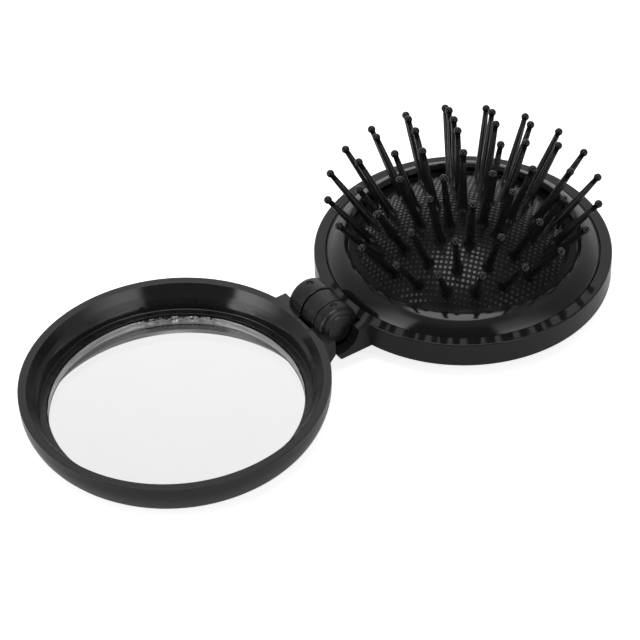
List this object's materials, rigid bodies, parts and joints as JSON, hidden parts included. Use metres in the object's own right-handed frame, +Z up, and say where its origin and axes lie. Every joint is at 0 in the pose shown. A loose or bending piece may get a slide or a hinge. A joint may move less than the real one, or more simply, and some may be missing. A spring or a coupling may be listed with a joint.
{
  "type": "folding pocket hairbrush with mirror",
  "caption": "Round folding hairbrush with ball-tipped pins on a pop-through rubber dome, hinged to a round lid that holds a mirror",
  "frame": {"origin": "on the supporting surface under the hinge pin, midway between the two discs, at the bottom centre of the opened object's bounding box", "axes": "+Z up out of the mirror and the pad, +X from the lid to the brush, +Y along the hinge pin"},
  "size_m": [0.1492, 0.07, 0.0392],
  "materials": {
    "shell": "polished black ABS",
    "bezel": "polished black ABS",
    "mirror": "silvered glass with a ground edge",
    "tape": "double-sided foam tape",
    "steel": "drawn steel wire",
    "pad": "black rubber with a fine raised dot grid",
    "pins": "black nylon, satin"
  },
  "bodies": {
    "brush": {"brush_case": "shell", "bezel_ring": "bezel", "rubber_pad": "pad"},
    "lid": {"mirror_lid": "shell", "mirror_glass": "mirror", "mirror_tape": "tape", "hinge_pin": "steel"},
    "pin_0_01_body": {"pin_0_01": "pins"},
    "pin_1_01_body": {"pin_1_01": "pins"},
    "pin_1_02_body": {"pin_1_02": "pins"},
    "pin_1_03_body": {"pin_1_03": "pins"},
    "pin_1_04_body": {"pin_1_04": "pins"},
    "pin_1_05_body": {"pin_1_05": "pins"},
    "pin_2_01_body": {"pin_2_01": "pins"},
    "pin_2_02_body": {"pin_2_02": "pins"},
    "pin_2_03_body": {"pin_2_03": "pins"},
    "pin_2_04_body": {"pin_2_04": "pins"},
    "pin_2_05_body": {"pin_2_05": "pins"},
    "pin_2_06_body": {"pin_2_06": "pins"},
    "pin_2_07_body": {"pin_2_07": "pins"},
    "pin_2_08_body": {"pin_2_08": "pins"},
    "pin_2_09_body": {"pin_2_09": "pins"},
    "pin_2_10_body": {"pin_2_10": "pins"},
    "pin_3_01_body": {"pin_3_01": "pins"},
    "pin_3_02_body": {"pin_3_02": "pins"},
    "pin_3_03_body": {"pin_3_03": "pins"},
    "pin_3_04_body": {"pin_3_04": "pins"},
    "pin_3_05_body": {"pin_3_05": "pins"},
    "pin_3_06_body": {"pin_3_06": "pins"},
    "pin_3_07_body": {"pin_3_07": "pins"},
    "pin_3_08_body": {"pin_3_08": "pins"},
    "pin_3_09_body": {"pin_3_09": "pins"},
    "pin_3_10_body": {"pin_3_10": "pins"},
    "pin_3_11_body": {"pin_3_11": "pins"},
    "pin_3_12_body": {"pin_3_12": "pins"},
    "pin_3_13_body": {"pin_3_13": "pins"},
    "pin_3_14_body": {"pin_3_14": "pins"},
    "pin_3_15_body": {"pin_3_15": "pins"},
    "pin_4_01_body": {"pin_4_01": "pins"},
    "pin_4_02_body": {"pin_4_02": "pins"},
    "pin_4_03_body": {"pin_4_03": "pins"},
    "pin_4_04_body": {"pin_4_04": "pins"},
    "pin_4_05_body": {"pin_4_05": "pins"},
    "pin_4_06_body": {"pin_4_06": "pins"},
    "pin_4_07_body": {"pin_4_07": "pins"},
    "pin_4_08_body": {"pin_4_08": "pins"},
    "pin_4_09_body": {"pin_4_09": "pins"},
    "pin_4_10_body": {"pin_4_10": "pins"},
    "pin_4_11_body": {"pin_4_11": "pins"},
    "pin_4_12_body": {"pin_4_12": "pins"},
    "pin_4_13_body": {"pin_4_13": "pins"},
    "pin_4_14_body": {"pin_4_14": "pins"},
    "pin_4_15_body": {"pin_4_15": "pins"},
    "pin_4_16_body": {"pin_4_16": "pins"},
    "pin_4_17_body": {"pin_4_17": "pins"},
    "pin_4_18_body": {"pin_4_18": "pins"},
    "pin_4_19_body": {"pin_4_19": "pins"},
    "pin_4_20_body": {"pin_4_20": "pins"}
  },
  "joints": [
    {"name": "lid_hinge", "type": "hinge", "parent": "brush", "child": "lid", "pos_m": [0, 0, 0.01065], "axis": [0, 1, 0], "range_deg": [0, 180], "deforming": ["rubber_pad"]},
    {"name": "pin_0_01_sink", "type": "slide", "parent": "brush", "child": "pin_0_01_body", "axis": [0, 0, -1], "range_m": [0, 0.02208]},
    {"name": "pin_1_01_sink", "type": "slide", "parent": "brush", "child": "pin_1_01_body", "axis": [0, 0, -1], "range_m": [0, 0.02122]},
    {"name": "pin_1_02_sink", "type": "slide", "parent": "brush", "child": "pin_1_02_body", "axis": [0, 0, -1], "range_m": [0, 0.02122]},
    {"name": "pin_1_03_sink", "type": "slide", "parent": "brush", "child": "pin_1_03_body", "axis": [0, 0, -1], "range_m": [0, 0.02122]},
    {"name": "pin_1_04_sink", "type": "slide", "parent": "brush", "child": "pin_1_04_body", "axis": [0, 0, -1], "range_m": [0, 0.02122]},
    {"name": "pin_1_05_sink", "type": "slide", "parent": "brush", "child": "pin_1_05_body", "axis": [0, 0, -1], "range_m": [0, 0.02122]},
    {"name": "pin_2_01_sink", "type": "slide", "parent": "brush", "child": "pin_2_01_body", "axis": [-0.0302, 0.0054, -0.9995], "range_m": [0, 0.01959]},
    {"name": "pin_2_02_sink", "type": "slide", "parent": "brush", "child": "pin_2_02_body", "axis": [-0.0276, -0.0133, -0.9995], "range_m": [0, 0.01959]},
    {"name": "pin_2_03_sink", "type": "slide", "parent": "brush", "child": "pin_2_03_body", "axis": [-0.0145, -0.027, -0.9995], "range_m": [0, 0.01959]},
    {"name": "pin_2_04_sink", "type": "slide", "parent": "brush", "child": "pin_2_04_body", "axis": [0.0042, -0.0304, -0.9995], "range_m": [0, 0.01959]},
    {"name": "pin_2_05_sink", "type": "slide", "parent": "brush", "child": "pin_2_05_body", "axis": [0.0212, -0.0221, -0.9995], "range_m": [0, 0.01959]},
    {"name": "pin_2_06_sink", "type": "slide", "parent": "brush", "child": "pin_2_06_body", "axis": [0.0302, -0.0054, -0.9995], "range_m": [0, 0.01959]},
    {"name": "pin_2_07_sink", "type": "slide", "parent": "brush", "child": "pin_2_07_body", "axis": [0.0276, 0.0133, -0.9995], "range_m": [0, 0.01959]},
    {"name": "pin_2_08_sink", "type": "slide", "parent": "brush", "child": "pin_2_08_body", "axis": [0.0145, 0.027, -0.9995], "range_m": [0, 0.01959]},
    {"name": "pin_2_09_sink", "type": "slide", "parent": "brush", "child": "pin_2_09_body", "axis": [-0.0042, 0.0304, -0.9995], "range_m": [0, 0.01959]},
    {"name": "pin_2_10_sink", "type": "slide", "parent": "brush", "child": "pin_2_10_body", "axis": [-0.0212, 0.0221, -0.9995], "range_m": [0, 0.01959]},
    {"name": "pin_3_01_sink", "type": "slide", "parent": "brush", "child": "pin_3_01_body", "axis": [-0.1637, 0.0295, -0.9861], "range_m": [0, 0.01624]},
    {"name": "pin_3_02_sink", "type": "slide", "parent": "brush", "child": "pin_3_02_body", "axis": [-0.1615, -0.0397, -0.9861], "range_m": [0, 0.01624]},
    {"name": "pin_3_03_sink", "type": "slide", "parent": "brush", "child": "pin_3_03_body", "axis": [-0.1314, -0.1019, -0.9861], "range_m": [0, 0.01624]},
    {"name": "pin_3_04_sink", "type": "slide", "parent": "brush", "child": "pin_3_04_body", "axis": [-0.0786, -0.1466, -0.9861], "range_m": [0, 0.01624]},
    {"name": "pin_3_05_sink", "type": "slide", "parent": "brush", "child": "pin_3_05_body", "axis": [-0.0122, -0.1659, -0.9861], "range_m": [0, 0.01624]},
    {"name": "pin_3_06_sink", "type": "slide", "parent": "brush", "child": "pin_3_06_body", "axis": [0.0563, -0.1565, -0.9861], "range_m": [0, 0.01624]},
    {"name": "pin_3_07_sink", "type": "slide", "parent": "brush", "child": "pin_3_07_body", "axis": [0.1151, -0.12, -0.9861], "range_m": [0, 0.01624]},
    {"name": "pin_3_08_sink", "type": "slide", "parent": "brush", "child": "pin_3_08_body", "axis": [0.154, -0.0628, -0.9861], "range_m": [0, 0.01624]},
    {"name": "pin_3_09_sink", "type": "slide", "parent": "brush", "child": "pin_3_09_body", "axis": [0.1662, 0.0052, -0.9861], "range_m": [0, 0.01624]},
    {"name": "pin_3_10_sink", "type": "slide", "parent": "brush", "child": "pin_3_10_body", "axis": [0.1497, 0.0724, -0.9861], "range_m": [0, 0.01624]},
    {"name": "pin_3_11_sink", "type": "slide", "parent": "brush", "child": "pin_3_11_body", "axis": [0.1073, 0.127, -0.9861], "range_m": [0, 0.01624]},
    {"name": "pin_3_12_sink", "type": "slide", "parent": "brush", "child": "pin_3_12_body", "axis": [0.0464, 0.1597, -0.9861], "range_m": [0, 0.01624]},
    {"name": "pin_3_13_sink", "type": "slide", "parent": "brush", "child": "pin_3_13_body", "axis": [-0.0226, 0.1648, -0.9861], "range_m": [0, 0.01624]},
    {"name": "pin_3_14_sink", "type": "slide", "parent": "brush", "child": "pin_3_14_body", "axis": [-0.0876, 0.1414, -0.9861], "range_m": [0, 0.01624]},
    {"name": "pin_3_15_sink", "type": "slide", "parent": "brush", "child": "pin_3_15_body", "axis": [-0.1376, 0.0935, -0.9861], "range_m": [0, 0.01624]},
    {"name": "pin_4_01_sink", "type": "slide", "parent": "brush", "child": "pin_4_01_body", "axis": [-0.2788, 0.0502, -0.959], "range_m": [0, 0.01219]},
    {"name": "pin_4_02_sink", "type": "slide", "parent": "brush", "child": "pin_4_02_body", "axis": [-0.2807, -0.0384, -0.959], "range_m": [0, 0.01219]},
    {"name": "pin_4_03_sink", "type": "slide", "parent": "brush", "child": "pin_4_03_body", "axis": [-0.2551, -0.1233, -0.959], "range_m": [0, 0.01219]},
    {"name": "pin_4_04_sink", "type": "slide", "parent": "brush", "child": "pin_4_04_body", "axis": [-0.2045, -0.1961, -0.959], "range_m": [0, 0.01219]},
    {"name": "pin_4_05_sink", "type": "slide", "parent": "brush", "child": "pin_4_05_body", "axis": [-0.1339, -0.2497, -0.959], "range_m": [0, 0.01219]},
    {"name": "pin_4_06_sink", "type": "slide", "parent": "brush", "child": "pin_4_06_body", "axis": [-0.0502, -0.2788, -0.959], "range_m": [0, 0.01219]},
    {"name": "pin_4_07_sink", "type": "slide", "parent": "brush", "child": "pin_4_07_body", "axis": [0.0384, -0.2807, -0.959], "range_m": [0, 0.01219]},
    {"name": "pin_4_08_sink", "type": "slide", "parent": "brush", "child": "pin_4_08_body", "axis": [0.1233, -0.2551, -0.959], "range_m": [0, 0.01219]},
    {"name": "pin_4_09_sink", "type": "slide", "parent": "brush", "child": "pin_4_09_body", "axis": [0.1961, -0.2045, -0.959], "range_m": [0, 0.01219]},
    {"name": "pin_4_10_sink", "type": "slide", "parent": "brush", "child": "pin_4_10_body", "axis": [0.2497, -0.1339, -0.959], "range_m": [0, 0.01219]},
    {"name": "pin_4_11_sink", "type": "slide", "parent": "brush", "child": "pin_4_11_body", "axis": [0.2788, -0.0502, -0.959], "range_m": [0, 0.01219]},
    {"name": "pin_4_12_sink", "type": "slide", "parent": "brush", "child": "pin_4_12_body", "axis": [0.2807, 0.0384, -0.959], "range_m": [0, 0.01219]},
    {"name": "pin_4_13_sink", "type": "slide", "parent": "brush", "child": "pin_4_13_body", "axis": [0.2551, 0.1233, -0.959], "range_m": [0, 0.01219]},
    {"name": "pin_4_14_sink", "type": "slide", "parent": "brush", "child": "pin_4_14_body", "axis": [0.2045, 0.1961, -0.959], "range_m": [0, 0.01219]},
    {"name": "pin_4_15_sink", "type": "slide", "parent": "brush", "child": "pin_4_15_body", "axis": [0.1339, 0.2497, -0.959], "range_m": [0, 0.01219]},
    {"name": "pin_4_16_sink", "type": "slide", "parent": "brush", "child": "pin_4_16_body", "axis": [0.0502, 0.2788, -0.959], "range_m": [0, 0.01219]},
    {"name": "pin_4_17_sink", "type": "slide", "parent": "brush", "child": "pin_4_17_body", "axis": [-0.0384, 0.2807, -0.959], "range_m": [0, 0.01219]},
    {"name": "pin_4_18_sink", "type": "slide", "parent": "brush", "child": "pin_4_18_body", "axis": [-0.1233, 0.2551, -0.959], "range_m": [0, 0.01219]},
    {"name": "pin_4_19_sink", "type": "slide", "parent": "brush", "child": "pin_4_19_body", "axis": [-0.1961, 0.2045, -0.959], "range_m": [0, 0.01219]},
    {"name": "pin_4_20_sink", "type": "slide", "parent": "brush", "child": "pin_4_20_body", "axis": [-0.2497, 0.1339, -0.959], "range_m": [0, 0.01219]}
  ],
  "couplings": [
    {"joint": "pin_0_01_sink", "follows": "lid_hinge", "m_per_rad": 0.0070251},
    {"joint": "pin_1_01_sink", "follows": "lid_hinge", "m_per_rad": 0.0067504},
    {"joint": "pin_1_02_sink", "follows": "lid_hinge", "m_per_rad": 0.0067504},
    {"joint": "pin_1_03_sink", "follows": "lid_hinge", "m_per_rad": 0.0067504},
    {"joint": "pin_1_04_sink", "follows": "lid_hinge", "m_per_rad": 0.0067504},
    {"joint": "pin_1_05_sink", "follows": "lid_hinge", "m_per_rad": 0.0067504},
    {"joint": "pin_2_01_sink", "follows": "lid_hinge", "m_per_rad": 0.0062339},
    {"joint": "pin_2_02_sink", "follows": "lid_hinge", "m_per_rad": 0.0062339},
    {"joint": "pin_2_03_sink", "follows": "lid_hinge", "m_per_rad": 0.0062339},
    {"joint": "pin_2_04_sink", "follows": "lid_hinge", "m_per_rad": 0.0062339},
    {"joint": "pin_2_05_sink", "follows": "lid_hinge", "m_per_rad": 0.0062339},
    {"joint": "pin_2_06_sink", "follows": "lid_hinge", "m_per_rad": 0.0062339},
    {"joint": "pin_2_07_sink", "follows": "lid_hinge", "m_per_rad": 0.0062339},
    {"joint": "pin_2_08_sink", "follows": "lid_hinge", "m_per_rad": 0.0062339},
    {"joint": "pin_2_09_sink", "follows": "lid_hinge", "m_per_rad": 0.0062339},
    {"joint": "pin_2_10_sink", "follows": "lid_hinge", "m_per_rad": 0.0062339},
    {"joint": "pin_3_01_sink", "follows": "lid_hinge", "m_per_rad": 0.0051675},
    {"joint": "pin_3_02_sink", "follows": "lid_hinge", "m_per_rad": 0.0051675},
    {"joint": "pin_3_03_sink", "follows": "lid_hinge", "m_per_rad": 0.0051675},
    {"joint": "pin_3_04_sink", "follows": "lid_hinge", "m_per_rad": 0.0051675},
    {"joint": "pin_3_05_sink", "follows": "lid_hinge", "m_per_rad": 0.0051675},
    {"joint": "pin_3_06_sink", "follows": "lid_hinge", "m_per_rad": 0.0051675},
    {"joint": "pin_3_07_sink", "follows": "lid_hinge", "m_per_rad": 0.0051675},
    {"joint": "pin_3_08_sink", "follows": "lid_hinge", "m_per_rad": 0.0051675},
    {"joint": "pin_3_09_sink", "follows": "lid_hinge", "m_per_rad": 0.0051675},
    {"joint": "pin_3_10_sink", "follows": "lid_hinge", "m_per_rad": 0.0051675},
    {"joint": "pin_3_11_sink", "follows": "lid_hinge", "m_per_rad": 0.0051675},
    {"joint": "pin_3_12_sink", "follows": "lid_hinge", "m_per_rad": 0.0051675},
    {"joint": "pin_3_13_sink", "follows": "lid_hinge", "m_per_rad": 0.0051675},
    {"joint": "pin_3_14_sink", "follows": "lid_hinge", "m_per_rad": 0.0051675},
    {"joint": "pin_3_15_sink", "follows": "lid_hinge", "m_per_rad": 0.0051675},
    {"joint": "pin_4_01_sink", "follows": "lid_hinge", "m_per_rad": 0.0038765},
    {"joint": "pin_4_02_sink", "follows": "lid_hinge", "m_per_rad": 0.0038765},
    {"joint": "pin_4_03_sink", "follows": "lid_hinge", "m_per_rad": 0.0038765},
    {"joint": "pin_4_04_sink", "follows": "lid_hinge", "m_per_rad": 0.0038765},
    {"joint": "pin_4_05_sink", "follows": "lid_hinge", "m_per_rad": 0.0038765},
    {"joint": "pin_4_06_sink", "follows": "lid_hinge", "m_per_rad": 0.0038765},
    {"joint": "pin_4_07_sink", "follows": "lid_hinge", "m_per_rad": 0.0038765},
    {"joint": "pin_4_08_sink", "follows": "lid_hinge", "m_per_rad": 0.0038765},
    {"joint": "pin_4_09_sink", "follows": "lid_hinge", "m_per_rad": 0.0038765},
    {"joint": "pin_4_10_sink", "follows": "lid_hinge", "m_per_rad": 0.0038765},
    {"joint": "pin_4_11_sink", "follows": "lid_hinge", "m_per_rad": 0.0038765},
    {"joint": "pin_4_12_sink", "follows": "lid_hinge", "m_per_rad": 0.0038765},
    {"joint": "pin_4_13_sink", "follows": "lid_hinge", "m_per_rad": 0.0038765},
    {"joint": "pin_4_14_sink", "follows": "lid_hinge", "m_per_rad": 0.0038765},
    {"joint": "pin_4_15_sink", "follows": "lid_hinge", "m_per_rad": 0.0038765},
    {"joint": "pin_4_16_sink", "follows": "lid_hinge", "m_per_rad": 0.0038765},
    {"joint": "pin_4_17_sink", "follows": "lid_hinge", "m_per_rad": 0.0038765},
    {"joint": "pin_4_18_sink", "follows": "lid_hinge", "m_per_rad": 0.0038765},
    {"joint": "pin_4_19_sink", "follows": "lid_hinge", "m_per_rad": 0.0038765},
    {"joint": "pin_4_20_sink", "follows": "lid_hinge", "m_per_rad": 0.0038765}
  ]
}
